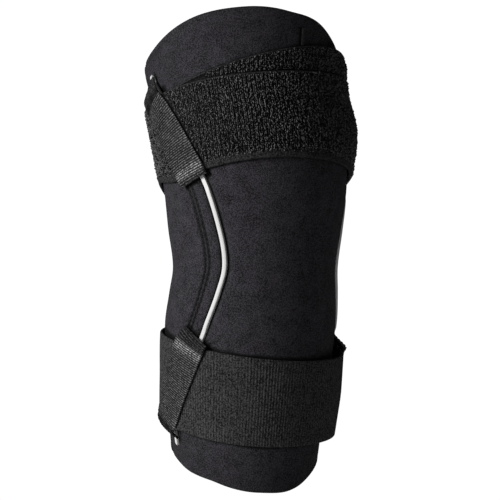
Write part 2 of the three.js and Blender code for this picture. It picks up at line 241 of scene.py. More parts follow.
def stand_off(flares, angle, share):
    at = np.clip(share, 0, 1)
    return sum(np.interp(at, (0, 0.5, 1), shares) * swell(middle, spread, angle)
               for middle, spread, shares in flares)


def up_the_band(angle, height):
    bottom = ring_height(UPPER_BOTTOM, angle)
    return (height - bottom) / (ring_height(UPPER_TOP, angle) - bottom)


def upper_slack(angle, height):
    share = up_the_band(angle, height)
    fades = 1 - smooth_step(share, 1, UPPER_BAND.settles)
    return UPPER_BAND.flare * stand_off(UPPER_FLARES, angle, share) * fades


def under_inner(angle, height):
    """The first turn's inner face, which leans out just above the main turn."""
    share = up_the_band(angle, height)
    leans = smooth_step(share, *UNDER_LEANS[:2]) * (1 - smooth_step(share, *UNDER_LEANS[2:]))
    lean = UNDER_BAND.lean * leans * swell(*UPPER_FLARES[0][:2], angle)
    return UNDER_BAND.lift + upper_slack(angle, height) + lean


def upper_inner(angle, height):
    over = UNDER_BAND.lift + UNDER_BAND.thickness + UNDER_BAND.gap
    place = round_the_arm(angle)
    starts = smooth_step(place, UNDER_BAND.start - UNDER_BAND.step, UNDER_BAND.start - 1)
    ends = smooth_step(place, UNDER_BAND.end + 1, UNDER_BAND.end + UNDER_BAND.step)
    above = smooth_step(height - ring_height(UPPER_BOTTOM, angle), 0, UNDER_BAND.inset - 1)
    raised = starts * (1 - ends) * above
    return UPPER_BAND.lift + raised * (over - UPPER_BAND.lift) + upper_slack(angle, height)


def lower_inner(angle, height):
    bottom = ring_height(LOWER_BOTTOM, angle)
    share = (height - bottom) / (ring_height(LOWER_TOP, angle) - bottom)
    return LOWER_BAND.lift + LOWER_BAND.flare * stand_off(LOWER_FLARES, angle, share)


# Each band: the heights of its edges, its thickness and its inner face's offset.
Layer = namedtuple("Layer", "top bottom thickness inner")
UNDER = Layer(lambda angle: ring_height(UNDER_TOP, angle),
              lambda angle: ring_height(UPPER_BOTTOM, angle) + UNDER_BAND.inset,
              UNDER_BAND.thickness, under_inner)
UPPER = Layer(lambda angle: ring_height(UPPER_TOP, angle), lambda angle: ring_height(UPPER_BOTTOM, angle),
              UPPER_BAND.thickness, upper_inner)
LOWER = Layer(lambda angle: ring_height(LOWER_TOP, angle), lambda angle: ring_height(LOWER_BOTTOM, angle),
              LOWER_BAND.thickness, lower_inner)


# The painted shadow lines along band edges on the sleeve: edge, width, strength, and how much wider each is
# where its band stands off behind.
EDGE_SHADOWS = [
    (UPPER.bottom, 0.8, 0.25, 0), (UNDER.top, 1.2, 0.8, 0), (LOWER.top, 2.0, 1.0, 1.6),
    (LOWER.bottom, 1.1, 0.8, 0),
]
EDGE_STANDS_OFF = (-112, 28)
EDGE_FULL = 0.4


def support(angle, height, fall):
    """The outer offset of the bands that lie here, which slopes away to nothing past their edges."""
    highest = np.zeros(np.broadcast(angle, height).shape)
    for layer in (UNDER, UPPER, LOWER):
        past = np.maximum(np.maximum(height - layer.top(angle), layer.bottom(angle) - height), 0)
        outer = layer.inner(angle, height) + layer.thickness
        outer = outer * (1 - smooth_step(past, STRAP.overhang, fall))
        if layer is UNDER:
            inside = (angle >= UNDER_BAND.start) & (angle <= UNDER_BAND.end)
            outer = np.where(inside, outer, 0)
        highest = np.maximum(highest, np.where(past > fall, 0, outer))
    return highest


def section(places, edge):
    """Places across flat strips, one strip a row, and shares of their thickness, all the way round."""
    first, last = places[:, :1], places[:, -1:]
    within = first + edge + (places - first) * (last - first - 2 * edge) / (last - first)
    reach, lift = 1 - np.cos(ARC), (1 + np.sin(ARC)) / 2
    across = np.concatenate([first + edge * reach, within, last - edge * reach[::-1]], axis=1)
    share = np.concatenate([lift, np.ones(places.shape[1]), lift[::-1]])
    return np.concatenate([across, across[:, ::-1]], axis=1), np.concatenate([share, 1 - share[::-1]])


def rounded_ends(start, end, edge, steps):
    """Evenly spaced rows from start to end with a few more at each end, and how thick each row is."""
    reach = edge * (1 - np.cos(ARC))
    rows = np.linspace(start + edge, end - edge, steps)
    thick = np.concatenate([np.sin(ARC), np.ones(steps), np.sin(ARC)[::-1]])
    return np.concatenate([start + reach, rows, end - reach[::-1]]), thick


def put(name, data):
    """A new object in the scene."""
    piece = bpy.data.objects.new(name, data)
    bpy.context.scene.collection.objects.link(piece)
    return piece


def mesh_piece(name, points, faces, corners, finishes, picks, marks):
    """A smooth mesh from points in millimetres, with a UV map in metres and a finish for each face.
    marks holds, by name, what each point says to its material from 0 to 1, such as its painted shade and its
    painted highlight."""
    mesh = bpy.data.meshes.new(name)
    mesh.from_pydata((points * MM).tolist(), [], faces.tolist())
    layer = mesh.uv_layers.new(name="cloth")
    layer.data.foreach_set("uv", (corners * MM).astype(np.float32).ravel())
    for finish in finishes:
        mesh.materials.append(finish)
    mesh.polygons.foreach_set("material_index", picks.astype(np.int32))
    for mark, values in marks.items():
        mesh.attributes.new(mark, "FLOAT", "POINT").data.foreach_set("value", values.astype(np.float32))
    mesh.shade_smooth()
    mesh.validate()
    return put(name, mesh)


def loft(name, loops, cloth, finishes, picks, closed=False, cap_pick=0, **marks):
    """Joins loops of points, one a row, into a closed body. cloth holds where each point lies on the
    flat cloth, with one more row than the loops where they close on themselves."""
    rows, count = loops.shape[:2]
    spans = rows if closed else rows - 1
    s, p = np.meshgrid(np.arange(spans), np.arange(count), indexing="ij")
    q = (p + 1) % count
    near, far = s * count, (s + 1) % rows * count
    faces = np.stack([near + p, near + q, far + q, far + p], axis=-1).reshape(-1, 4)
    corners = np.stack([cloth[s, p], cloth[s, q], cloth[s + 1, q], cloth[s + 1, p]], axis=2)
    corners = corners.reshape(-1, 4, 2)
    picks = np.broadcast_to(picks, (spans, count)).ravel()
    if not closed:
        half = count // 2
        a = np.arange(half - 1)
        b = count - 1 - a
        end = (rows - 1) * count
        caps = np.concatenate([np.stack([a, b, b - 1, a + 1], axis=-1),
                               np.stack([end + a, end + a + 1, end + b - 1, end + b], axis=-1)])
        faces = np.concatenate([faces, caps])
        corners = np.concatenate([corners, cloth[:rows].reshape(-1, 2)[caps]])
        picks = np.concatenate([picks, np.full(len(caps), cap_pick)])
    points = loops.reshape(-1, 3)
    a, b, c, d = (points[faces[:, k]] for k in range(4))
    if np.sum(a * np.cross(b, c) + a * np.cross(c, d)) < 0:
        faces, corners = faces[:, ::-1], corners[:, ::-1]
    marks = {mark: np.broadcast_to(values, loops.shape[:2]).ravel() for mark, values in marks.items()}
    return mesh_piece(name, points, faces, corners, finishes, picks, marks)


def laid(across, along):
    """Where points lie on the flat cloth."""
    return np.stack(np.broadcast_arrays(across, along), axis=-1)


def section_picks(count):
    """The finish of each face round a strip's section: 0 outside, 1 inside, 2 along its two edges."""
    row = count // 2
    picks = np.full(count, 2)
    picks[len(ARC):row - len(ARC) - 1] = 0
    picks[row + len(ARC):count - len(ARC) - 1] = 1
    return picks


def add(piece):
    """Puts a finished piece on the part's only body."""
    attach(piece, "root")
    return piece


# node trees


def node(tree, kind, inputs=None, **settings):
    """A node with its settings, and its inputs set, or linked where a socket or another node is given."""
    made = tree.nodes.new(kind)
    for key, value in settings.items():
        setattr(made, key, value)
    for key, value in (inputs or {}).items():
        value = value.outputs[0] if isinstance(value, bpy.types.Node) else value
        if isinstance(value, bpy.types.NodeSocket):
            tree.links.new(value, made.inputs[key])
        else:
            made.inputs[key].default_value = value
    return made


def math(tree, operation, *values):
    return node(tree, "ShaderNodeMath", dict(enumerate(values)), operation=operation).outputs[0]


def group(kind, name, inputs, outputs):
    """An empty node group with named sockets of named types, and its own input and output nodes."""
    tree = bpy.data.node_groups.new(name, kind)
    for way, sockets in (("INPUT", inputs), ("OUTPUT", outputs)):
        for label, socket in sockets.items():
            tree.interface.new_socket(label, in_out=way, socket_type="NodeSocket" + socket)
    return tree, tree.nodes.new("NodeGroupInput").outputs, tree.nodes.new("NodeGroupOutput").inputs


def grain_group():
    """Yarn-sized speckle: a mask from 0 to 1 whose spots have the given size and contrast."""
    tree, given, out = group("ShaderNodeTree", "grain", {
        "Vector": "Vector", "Size": "Float", "Contrast": "Float"}, {"Mask": "Float"})
    scale = math(tree, "DIVIDE", 1.0, given["Size"])
    noise = node(tree, "ShaderNodeTexNoise", {"Vector": given["Vector"], "Scale": scale, "Detail": 2.0,
                                              "Roughness": 0.6})
    spread = math(tree, "MULTIPLY", math(tree, "SUBTRACT", noise.outputs["Fac"], 0.5), given["Contrast"])
    mask = node(tree, "ShaderNodeClamp", {"Value": math(tree, "ADD", spread, 0.5)})
    tree.links.new(mask.outputs[0], out["Mask"])
    return tree


def weave_group():
    """Yarns on the flat cloth, each a height from 0 beside the yarn to 1 on it: rows side by side
    across the cloth, ribs one after another along it, and the stitches where the two meet."""
    tree, given, out = group("ShaderNodeTree", "weave", {
        "Cloth": "Vector", "Across": "Float", "Along": "Float", "Wander": "Float",
    }, {"Rows": "Float", "Ribs": "Float", "Stitches": "Float"})
    bend = node(tree, "ShaderNodeTexNoise", {"Vector": given["Cloth"], "Scale": 400.0, "Detail": 1.0})
    drift = node(tree, "ShaderNodeVectorMath", {0: bend.outputs["Color"], 3: given["Wander"]},
                 operation="SCALE")
    moved = node(tree, "ShaderNodeVectorMath", {0: given["Cloth"], 1: drift})
    place = node(tree, "ShaderNodeSeparateXYZ", {0: moved})

    def ripple(value, pitch):
        turns = math(tree, "MULTIPLY", math(tree, "DIVIDE", value, pitch), 2 * np.pi)
        return math(tree, "MULTIPLY_ADD", math(tree, "SINE", turns), 0.5, 0.5)

    rows, ribs = ripple(place.outputs["X"], given["Across"]), ripple(place.outputs["Y"], given["Along"])
    tree.links.new(rows, out["Rows"])
    tree.links.new(ribs, out["Ribs"])
    tree.links.new(math(tree, "MULTIPLY", rows, ribs), out["Stitches"])
    return tree


GRAIN, WEAVE = grain_group(), weave_group()
YARN_SHINE = 0.2
# The darkest colour of painted shade, and how much brighter a painted highlight makes a cloth.
DARKEST_PAINTED_SHADE = 0.0015
PAINTED_HIGHLIGHT_GAIN = 3.2


def material(name, roughness, sheen=0.0, specular=0.25):
    """A new material, its tree, and the object's own coordinates and cloth map."""
    made = bpy.data.materials.new(name)
    made.use_nodes = True
    tree = made.node_tree
    surface = tree.nodes["Principled BSDF"].inputs
    for label, value in (("Roughness", roughness), ("Specular IOR Level", specular),
                         ("Sheen Weight", sheen), ("Sheen Roughness", 0.5)):
        surface[label].default_value = value
    where = tree.nodes.new("ShaderNodeTexCoord")
    return made, tree, where.outputs["Object"], where.outputs["UV"]


def dressed(made, colour, height=None, depth=0.0, roughness=None):
    """The material with its colour, its relief of some depth, and its roughness where that varies."""
    tree = made.node_tree
    sockets = {"Base Color": colour, "Roughness": roughness}
    if height is not None:
        bump = node(tree, "ShaderNodeBump", {"Height": height, "Distance": depth * MM, "Strength": 1.0})
        sockets["Normal"] = bump.outputs[0]
    for label, value in sockets.items():
        if value is not None:
            tree.links.new(value, tree.nodes["Principled BSDF"].inputs[label])
    return made


def smoother(tree, raised, roughness):
    """A roughness that is less where the yarns stand out."""
    return math(tree, "MULTIPLY_ADD", raised, -YARN_SHINE, roughness + YARN_SHINE / 2)


def grain(tree, vector, size, contrast):
    return node(tree, "ShaderNodeGroup", {"Vector": vector, "Size": size * MM, "Contrast": contrast},
                node_tree=GRAIN).outputs["Mask"]


def weave(tree, cloth, across, along, wander):
    return node(tree, "ShaderNodeGroup", {"Cloth": cloth, "Across": across * MM, "Along": along * MM,
                                          "Wander": wander * MM}, node_tree=WEAVE).outputs


def blend(tree, mask, dark, light):
    """Two colours, or a colour and the output of another blend, mixed by a mask."""
    return node(tree, "ShaderNodeMix", {0: mask, 6: dark, 7: light}, data_type="RGBA").outputs[2]


def mark(tree, name):
    """What the piece's points say by this name, or 0 where they say nothing."""
    return node(tree, "ShaderNodeAttribute", attribute_name=name).outputs["Fac"]


def creased(tree, colour):
    """A colour that painted shade darkens, as far as the piece's points say: in seams, folds and slits and
    beside edges.
    """
    return blend(tree, mark(tree, "crease"), colour, grey(DARKEST_PAINTED_SHADE))


def grey(value, blue=1.0):
    return (value, value * 0.98, value * blue, 1.0)


def jersey(name, dark, light, blue):
    """Fine knit over foam: soft patches, yarn speckle and faint upright rows, with painted shade in its
    seams and beside bands and straps.
    """
    made, tree, place, cloth = material(name, 0.85, sheen=0.03, specular=0.15)
    patches = grain(tree, place, size=7.0, contrast=2.6)
    speckle = grain(tree, place, size=0.6, contrast=6.0)
    rows = weave(tree, cloth, across=0.9, along=1.3, wander=0.5)
    tone = math(tree, "MULTIPLY_ADD", patches, 0.3, math(tree, "MULTIPLY", speckle, 0.7))
    tint = grain(tree, place, size=22.0, contrast=2.5)
    lit = blend(tree, tint, grey(light, blue), (light * 1.08, light * 0.95, light * blue * 1.04, 1.0))
    face = blend(tree, tone, grey(dark, blue), lit)
    knit = math(tree, "MULTIPLY_ADD", rows["Stitches"], 0.4, math(tree, "MULTIPLY", speckle, 0.6))
    return dressed(made, creased(tree, face), knit, 0.12, smoother(tree, speckle, 0.85))


def foam(name):
    """The cut edge of the neoprene: black foam with tiny cells."""
    made, tree, place, cloth = material(name, 0.95, specular=0.1)
    cells = grain(tree, place, size=0.35, contrast=3.0)
    return dressed(made, blend(tree, cells, grey(0.006), grey(0.016)), cells, 0.1)


def pile(name, dark, light, size):
    """Loops or the cloth that they stand on: yarns from dark to light, one beside the other, with painted
    shadow beside the straps where its points carry it.
    """
    made, tree, place, cloth = material(name, 0.75, sheen=0.02, specular=0.15)
    yarns = grain(tree, place, size, contrast=7.0)
    shade = grain(tree, place, size=12.0, contrast=1.5)
    tone = math(tree, "MULTIPLY", yarns, math(tree, "MULTIPLY_ADD", shade, 0.5, 0.5))
    face = blend(tree, tone, grey(dark), grey(light))
    return dressed(made, creased(tree, face), yarns, 0.1, smoother(tree, yarns, 0.75))


def ribbed(name, dark, light, across, along, way, stand_out, roughness, depth, crisp=1.0):
    """Woven cloth whose yarns stand out one way, as rows or as ribs, brightened by a painted highlight and
    darkened by painted shade as far as its points say. The gaps between its yarns are wider and darker where
    it is crisp."""
    made, tree, place, cloth = material(name, roughness, sheen=0.02, specular=0.15)
    yarns = weave(tree, cloth, across, along, wander=0.4)
    speckle = grain(tree, place, size=0.8, contrast=6.0)
    patches = grain(tree, place, size=8.0, contrast=2.0)
    broken = math(tree, "MULTIPLY", yarns[way], math(tree, "MULTIPLY_ADD", speckle, 0.7, 0.3))
    loose = math(tree, "MULTIPLY_ADD", speckle, 1 - stand_out, math(tree, "MULTIPLY", patches, 0.12))
    tone = math(tree, "POWER", math(tree, "MULTIPLY_ADD", broken, stand_out, loose), crisp)
    face = blend(tree, tone, grey(dark), grey(light))
    # The painted highlight: the same cloth made brighter.
    frayed = blend(tree, tone, grey(dark), grey(light * PAINTED_HIGHLIGHT_GAIN))
    colour = creased(tree, blend(tree, mark(tree, "wear"), face, frayed))
    return dressed(made, colour, math(tree, "MULTIPLY_ADD", speckle, 0.5, yarns[way]), depth,
                   smoother(tree, tone, roughness))


def cord_cloth(name, dark, light):
    """The smooth white tape over the piping's cord, with its fine diagonal weave."""
    made, tree, place, cloth = material(name, 0.45, sheen=0.1, specular=0.4)
    rows = weave(tree, cloth, across=0.5, along=0.5, wander=0.1)
    return dressed(made, blend(tree, rows["Stitches"], dark, light), rows["Stitches"], 0.04)


def sewing_thread(name, dark, light):
    made, tree, place, cloth = material(name, 0.5, specular=0.4)
    twist = grain(tree, place, size=0.3, contrast=3.0)
    return dressed(made, blend(tree, twist, grey(dark), grey(light)), twist, 0.05)


JERSEY = jersey("jersey_face", 0.004, 0.06, 1.12)
LINING = jersey("jersey_lining", 0.010, 0.026, 1.0)
FOAM = foam("foam_edge")
LOOP_GROUND = pile("loop_ground", 0.002, 0.008, 0.8)
LOOP_PILE = pile("loop_pile", 0.002, 0.225, 1.1)
SELVAGE = ribbed("woven_selvage", 0.004, 0.052, 0.8, 0.8, "Rows", 0.2, 0.85, 0.1)
ELASTIC_RIBS = ribbed("elastic_ribs", 0.001, 0.08, ELASTIC.rib, 0.85, "Rows", 0.45, 0.85, 0.14)
WEBBING_RIBS = ribbed("webbing_ribs", 0.0, 0.2, 1.1, WEBBING.rib, "Ribs", 0.85, 0.6, 0.2, crisp=1.7)
PIPING_TAPE = cord_cloth("piping_tape", (0.80, 0.80, 0.79, 1), (0.92, 0.92, 0.91, 1))
DARK_THREAD = sewing_thread("dark_thread", 0.004, 0.02)
RIBBON = ribbed("label_ribbon", 0.012, 0.06, 0.5, 0.5, "Rows", 0.3, 0.6, 0.05)


# repeats along a line


def copies(tree, given, shape, scale):
    """Copies of a shape at an even pitch along lines, each with Z along its line and X on its way out."""
    curve = node(tree, "GeometryNodeMeshToCurve", {0: given["Lines"]})
    spots = node(tree, "GeometryNodeResampleCurve", {"Curve": curve, "Length": given["Pitch"]},
                 mode="LENGTH")
    up = node(tree, "GeometryNodeInputNamedAttribute", {"Name": "up"}, data_type="FLOAT_VECTOR")
    facing = node(tree, "FunctionNodeAlignRotationToVector", {"Vector": up}, axis="X")
    turned = node(tree, "FunctionNodeAlignRotationToVector", {
        "Rotation": facing, "Vector": node(tree, "GeometryNodeInputTangent")}, axis="Z")
    return node(tree, "GeometryNodeInstanceOnPoints", {
        "Points": spots, "Instance": shape, "Rotation": turned, "Scale": scale})


def realized(tree, given, out, placed):
    """Ends a tree: its copies become one smooth mesh with its finish."""
    real = node(tree, "GeometryNodeRealizeInstances", {0: placed})
    soft = node(tree, "GeometryNodeSetShadeSmooth", {"Geometry": real})
    done = node(tree, "GeometryNodeSetMaterial", {"Geometry": soft, "Material": given["Finish"]})
    tree.links.new(done.outputs[0], out["Geometry"])
    return tree


def lines_group(name, sizes, **more):
    """A tree that takes lines, the pitch of the copies on them, some sizes of theirs and a finish."""
    return group("GeometryNodeTree", name, {
        "Lines": "Geometry", "Pitch": "Float", **dict.fromkeys(sizes, "Float"), **more,
        "Finish": "Material"}, {"Geometry": "Geometry"})


def stitch_tree():
    """Stitches laid along lines: flattened beads of thread, one after another."""
    tree, given, out = lines_group("stitches_along", ("Length", "Width", "Height"))
    bead = node(tree, "GeometryNodeMeshUVSphere", {"Segments": 6, "Rings": 5, "Radius": 0.5})
    size = node(tree, "ShaderNodeCombineXYZ", {0: given["Height"], 1: given["Width"], 2: given["Length"]})
    return realized(tree, given, out, copies(tree, given, bead, size))


def loop_tree():
    """Loop pile along lines: small arches of yarn that lean, turn and vary in size."""
    tree, given, out = lines_group(
        "loops_along", ("Length", "Height", "Thread", "Turn", "Lean", "Scatter"), Seed="Int")

    def drawn(least, most, seed, kind):
        return node(tree, "FunctionNodeRandomValue", {**least, **most, "Seed": seed}, data_type=kind)

    half = math(tree, "MULTIPLY", given["Length"], 0.5)
    foot = node(tree, "ShaderNodeCombineXYZ", {2: math(tree, "MULTIPLY", half, -1.0)})
    tip = node(tree, "ShaderNodeCombineXYZ", {0: math(tree, "MULTIPLY", given["Height"], 2.0)})
    end = node(tree, "ShaderNodeCombineXYZ", {2: half})
    arch = node(tree, "GeometryNodeCurveQuadraticBezier", {
        "Resolution": 3, "Start": foot, "Middle": tip, "End": end})
    yarn = node(tree, "GeometryNodeCurvePrimitiveCircle", {"Resolution": 3, "Radius": given["Thread"]},
                mode="RADIUS")
    loop = node(tree, "GeometryNodeCurveToMesh", {0: arch, 1: yarn, "Fill Caps": True})
    size = drawn({2: LOOPS.smallest}, {3: LOOPS.largest}, given["Seed"], "FLOAT").outputs[1]
    placed = copies(tree, given, loop, size)
    most = node(tree, "ShaderNodeCombineXYZ", {0: given["Turn"], 1: given["Lean"], 2: given["Lean"]})
    least = node(tree, "ShaderNodeVectorMath", {0: most, 3: -1.0}, operation="SCALE")
    lean = drawn({0: least}, {1: most}, given["Seed"], "FLOAT_VECTOR")
    leaning = node(tree, "GeometryNodeRotateInstances", {"Instances": placed, "Rotation": lean})
    nearest = math(tree, "MULTIPLY", given["Scatter"], -1.0)
    other = math(tree, "ADD", given["Seed"], 1.0)
    shift = drawn({0: nearest}, {1: given["Scatter"]}, other, "FLOAT_VECTOR")
    strewn = node(tree, "GeometryNodeTranslateInstances", {"Instances": leaning, "Translation": shift})
    return realized(tree, given, out, strewn)


STITCHES, LOOP_ROWS = stitch_tree(), loop_tree()


def lines_mesh(name, lines):
    """A mesh of open lines. Each line is its points and, for each, the point straight above it."""
    points = np.concatenate([line for line, above in lines])
    ups = np.concatenate([above - line for line, above in lines])
    ups /= np.linalg.norm(ups, axis=1, keepdims=True)
    edges, start = [], 0
    for line, above in lines:
        edges += [(start + k, start + k + 1) for k in range(len(line) - 1)]
        start += len(line)
    mesh = bpy.data.meshes.new(name)
    mesh.from_pydata((points * MM).tolist(), edges, [])
    way_out = mesh.attributes.new("up", "FLOAT_VECTOR", "POINT")
    way_out.data.foreach_set("vector", ups.astype(np.float32).ravel())
    return put(name, mesh)


def grown(name, lines, tree, values):
    """What a tree makes of some lines, as a plain mesh."""
    base = lines_mesh(name + "_lines", lines)
    base.data.materials.append(values["Finish"])
    modifier = base.modifiers.new("grow", "NODES")
    modifier.node_group = tree
    for item in tree.interface.items_tree:
        if item.in_out == "INPUT" and item.name in values:
            modifier[item.identifier] = values[item.name]
    base.update_tag()
    depsgraph = bpy.context.evaluated_depsgraph_get()
    mesh = bpy.data.meshes.new_from_object(base.evaluated_get(depsgraph), depsgraph=depsgraph)
    mesh.name = name
    base.modifiers.remove(modifier)
    bpy.data.objects.remove(base)
    return put(name, mesh)


def sewn(name, lines, finish, length=STITCH.length, width=STITCH.width):
    return grown(name, lines, STITCHES, {
        "Pitch": (length + STITCH.gap) * MM, "Length": length * MM, "Width": width * MM,
        "Height": STITCH.height * MM, "Finish": finish})


def looped(name, lines, finish, seed):
    return grown(name, lines, LOOP_ROWS, {
        "Pitch": LOOPS.step * MM, "Length": LOOPS.length * MM, "Height": LOOPS.height * MM,
        "Thread": LOOPS.thread * MM, "Turn": LOOPS.turn, "Lean": LOOPS.lean,
        "Scatter": LOOPS.scatter * MM, "Seed": seed, "Finish": finish})


def line_on(angle, height, offset):
    """A line on the arm's form, with the points above it that give the way out."""
    return on_form(angle, height, offset), on_form(angle, height, offset + 1)


# the straps' lines


def strap_line(route, length, side, steps):
    """A strap's middle line at even steps: angles, heights, widths and the run to each."""
    key = np.arange(len(route))
    angles, heights, widths = ([*zip(key, column)] for column in zip(*route))
    fine = np.linspace(0, key[-1], STRAP.fine)
    step = np.hypot(np.diff(follow(angles, fine)) * MEAN_DEGREE, np.diff(length * follow(heights, fine)))
    run = np.concatenate([[0], np.cumsum(step)])
    even = np.linspace(0, run[-1], steps)
    at = np.interp(even, run, fine)
    twist = STRAP.twist if side > 0 else 0
    return (side * follow(angles, at) + twist, length * follow(heights, at),
            STRAP.width * follow(widths, at), even)


def strap_way(angles, heights, run):
    """Which way a strap runs, round the arm and up it. Its folded tip keeps the way of its body."""
    way = np.stack([np.gradient(angles) * degree_of_arc(heights), np.gradient(heights)])
    way /= np.linalg.norm(way, axis=0)
    body = np.searchsorted(run, run[-1] - WEBBING.tip)
    way[:, body:] = way[:, body - 1:body]
    return way


STRAP_LINES = [strap_line(route, length, side, 80) for side in (-1, 1)
               for route, length in ((UPPER_ROUTE, ARM.upper), (LOWER_ROUTE, ARM.fore))]


def from_straps(angle, height):
    """Distance across the cloth from the nearest strap's edge, below zero under a strap, and whether
    the place lies on that strap's front side."""
    nearest = np.full(np.broadcast(angle, height).shape, np.inf)
    in_front = np.zeros(nearest.shape, bool)
    for angles, heights, widths, run in STRAP_LINES:
        way = strap_way(angles, heights, run)
        aside = round_the_arm(np.asarray(angle)[..., None] - angles) * MEAN_DEGREE
        above = np.asarray(height)[..., None] - heights
        i = np.argmin(np.hypot(aside, above), axis=-1)[..., None]
        aside, above = (np.take_along_axis(gap, i, axis=-1)[..., 0]
                        for gap in np.broadcast_arrays(aside, above))
        i = i[..., 0]
        along = np.abs(aside * way[0, i] + above * way[1, i])
        across = np.abs(aside * way[1, i] - above * way[0, i])
        gap = np.maximum(across - widths[i] / 2, along - run[1])
        in_front = np.where(gap < nearest, np.abs(round_the_arm(angle)) < np.abs(angles[i]), in_front)
        nearest = np.minimum(nearest, gap)
    return nearest, in_front


def strap_shade(angle, height):
    """How much painted shadow darkens the cloth beside a strap, from 0 to 1: most along the strap's front
    edge.
    """
    away, in_front = from_straps(angle, height)
    reach = np.where(in_front, STRAP.shade, STRAP.shade / 2)
    return STRAP.dark * (1 - smooth_step(away, STRAP.full * reach, reach))


# the sleeve


def seam_angle(share):
    return follow(SEAM, share)


def is_piped(share):
    return (share >= PIPING.start) & (share <= PIPING.end)


def seam_gap(share):
    """Half of the gap between the panels, in degrees: the piping fills it between its own ends."""
    half = np.where(is_piped(share), PIPING.half + SEAM_EASE, SEAM_EASE)
    return half / degree_of_arc(sleeve_height(seam_angle(share), share))


def from_seam(angle, height, share):
    """Distance across the cloth from the nearer seam."""
    return np.abs(np.abs(round_the_arm(angle)) - seam_angle(share)) * degree_of_arc(height)


def hollow(distance, width):
    """A soft groove: 1 on its line and nothing a few widths away."""
    return np.exp(-(distance / width) ** 2)


def painted_shadows(angle, height):
    """How much painted shade darkens the sleeve beside bands and straps, from 0 to 1: a painted shadow line
    along each edge, wider where a band's edge stands off behind, and the painted shade of small creases."""
    dark = strap_shade(angle, height)
    for edge, width, strength, behind in EDGE_SHADOWS:
        reach = width * (1 + behind * swell(*EDGE_STANDS_OFF, angle))
        past = np.abs(height - edge(angle))
        dark = np.maximum(dark, strength * (1 - smooth_step(past, EDGE_FULL * reach, reach)))
    for start, end, width, strength in PAINTED_CREASE_SHADE:
        dark = np.maximum(dark, strength * hollow(from_line(angle, height, start, end), width))
    return dark


def from_line(angle, height, start, end):
    """Distance across the cloth from a short straight line between two places."""
    along = np.array([(end[0] - start[0]) * MEAN_DEGREE, end[1] - start[1]])
    x, y = (angle - start[0]) * MEAN_DEGREE, height - start[1]
    t = np.clip((x * along[0] + y * along[1]) / (along @ along), 0, 1)
    return np.hypot(x - t * along[0], y - t * along[1])


def panel_relief(angle, height, share, is_back):
    """How far the outer face dips, and its painted shade: edges rolled into the seams, the sewn channels
    beside them on the back, and the stitched line inside each rim, with painted shade also at the rims and
    beside bands and straps."""
    beside = from_seam(angle, height, share)
    away = beside - PIPING.half
    roll = hollow(away, SEAM_ROLL.width) * is_piped(share)
    dip = (SEAM_ROLL.back if is_back else SEAM_ROLL.front) * roll
    # Painted shade in the groove beside the piping: dark on the front, faint on the back.
    crease = SEAM_ROLL.back_shade * roll if is_back else smooth_step(roll, *SEAM_ROLL.dark)
    # Each channel is painted dark, partly for its dark thread and partly as painted shade in its groove.
    for place in CHANNELS.places if is_back else ():
        channel = hollow(beside - place, CHANNELS.width)
        dip = dip + CHANNELS.depth * channel
        crease = np.maximum(crease, channel)
    # Painted shade along the stitched line inside each rim, at the rim's very edge, fading out from the rim,
    # and beside bands and straps.
    edge = np.minimum(share, 1 - share) * (ring_height(RIM_TOP, angle) - ring_height(RIM_BOTTOM, angle))
    rim = hollow(edge - RIM_SEAM.inset, RIM_SEAM.width)
    lip = RIM_SEAM.lip_shade * (1 - smooth_step(edge, *RIM_SEAM.lip))
    fading = RIM_SEAM.shade * (1 - smooth_step(edge, *RIM_SEAM.fades))
    for shade in (RIM_SEAM.line_shade * rim, lip, fading, painted_shadows(angle, height)):
        crease = np.maximum(crease, shade)
    pinched = swell(PINCH.angle, PINCH.spread, angle) * hollow(height - PINCH.height, PINCH.reach)
    return -dip - RIM_SEAM.depth * rim - PINCH.depth * pinched, crease


SLEEVE_LENGTH = 228
PANEL = Sizes(rows=190, columns=84, fine=0.5)


def panel(name, node_name, start, end, margin, is_back):
    """A panel between two angles, with fine columns over a margin beside each of its seams."""
    share, thick = rounded_ends(0, 1, NEOPRENE.edge / SLEEVE_LENGTH, PANEL.rows)
    first, last = start(share)[:, None], end(share)[:, None]
    degree = degree_of_arc(sleeve_height(first, share[:, None]))
    fine = np.arange(0, margin, PANEL.fine) / degree
    broad = np.linspace(0, 1, PANEL.columns)[1:-1]
    inner_first, inner_last = first + margin / degree, last - margin / degree
    places = np.concatenate([first + fine, inner_first + broad * (inner_last - inner_first),
                             last - fine[:, ::-1]], axis=1)
    edge = np.where(is_piped(share), NEOPRENE.edge, SEAM_EASE)[:, None]
    across, level = section(places, edge / degree)
    height = sleeve_height(across, share[:, None])
    level = 0.5 + (level - 0.5) * thick[:, None]
    # panel_relief gives the outer face's dip and its painted shade.
    rise, crease = panel_relief(across, height, share[:, None], is_back)
    outer = smooth_step(level, NEOPRENE.outer, 1)
    loops = on_form(across, height, NEOPRENE.thickness * (level - 1) + rise * outer)
    piece = loft(name, loops, laid(across * degree_of_arc(height), height), [JERSEY, LINING, FOAM],
                 section_picks(loops.shape[1]), cap_pick=2, crease=crease * outer)
    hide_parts(node_name)
    return add(piece)


sleeve_front = panel("sleeve_front", "front_panel", lambda s: -(seam_angle(s) - seam_gap(s)),
                     lambda s: seam_angle(s) - seam_gap(s), margin=5, is_back=False)
sleeve_back = panel("sleeve_back", "back_panel", lambda s: seam_angle(s) + seam_gap(s),
                    lambda s: TURN - seam_angle(s) - seam_gap(s), margin=14.5, is_back=True)

PIPING_ROWS = 260
BEAD = np.linspace(0, 180, 15)


